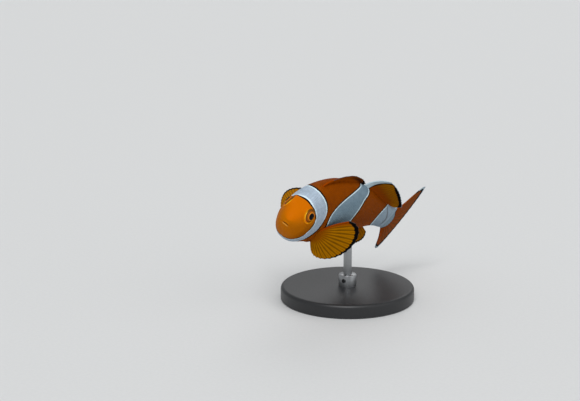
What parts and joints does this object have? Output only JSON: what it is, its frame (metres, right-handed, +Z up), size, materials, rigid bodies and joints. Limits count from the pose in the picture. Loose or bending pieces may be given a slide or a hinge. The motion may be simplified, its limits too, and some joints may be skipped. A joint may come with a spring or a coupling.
{
  "type": "clownfish display model",
  "caption": "Life-size clownfish in a banked swimming turn, all fins shown, held over a round base by a short rod.",
  "frame": {"origin": "middle of the stand base's underside, on the rod's axis", "axes": "+Z up, the fish heads towards -Y with its left side towards +X, banked and nose-up"},
  "size_m": [0.048, 0.08, 0.0491],
  "materials": {
    "orange_skin": "satin, orange flesh and scales with white bars",
    "white_skin": "satin, blue-white bar on the tail stalk",
    "orange_fin": "satin, orange fin membrane with a black margin",
    "eyes": "wet gloss",
    "stand_black": "satin black",
    "stand_steel": "brushed"
  },
  "bodies": {
    "root": {"head": "orange_skin", "lower_jaw": "orange_skin", "gill_cover_left": "orange_skin", "gill_cover_right": "orange_skin", "trunk": "orange_skin", "tail_stalk": "white_skin", "eye_left": "eyes", "eye_right": "eyes", "dorsal_fin_spiny": "orange_fin", "dorsal_fin_soft": "orange_fin", "anal_fin": "orange_fin", "caudal_fin": "orange_fin", "pectoral_fin_left": "orange_fin", "pectoral_fin_right": "orange_fin", "pelvic_fin_left": "orange_fin", "pelvic_fin_right": "orange_fin", "stand_base": "stand_black", "stand_ferrule": "stand_steel", "stand_rod": "stand_steel"}
  },
  "joints": []
}
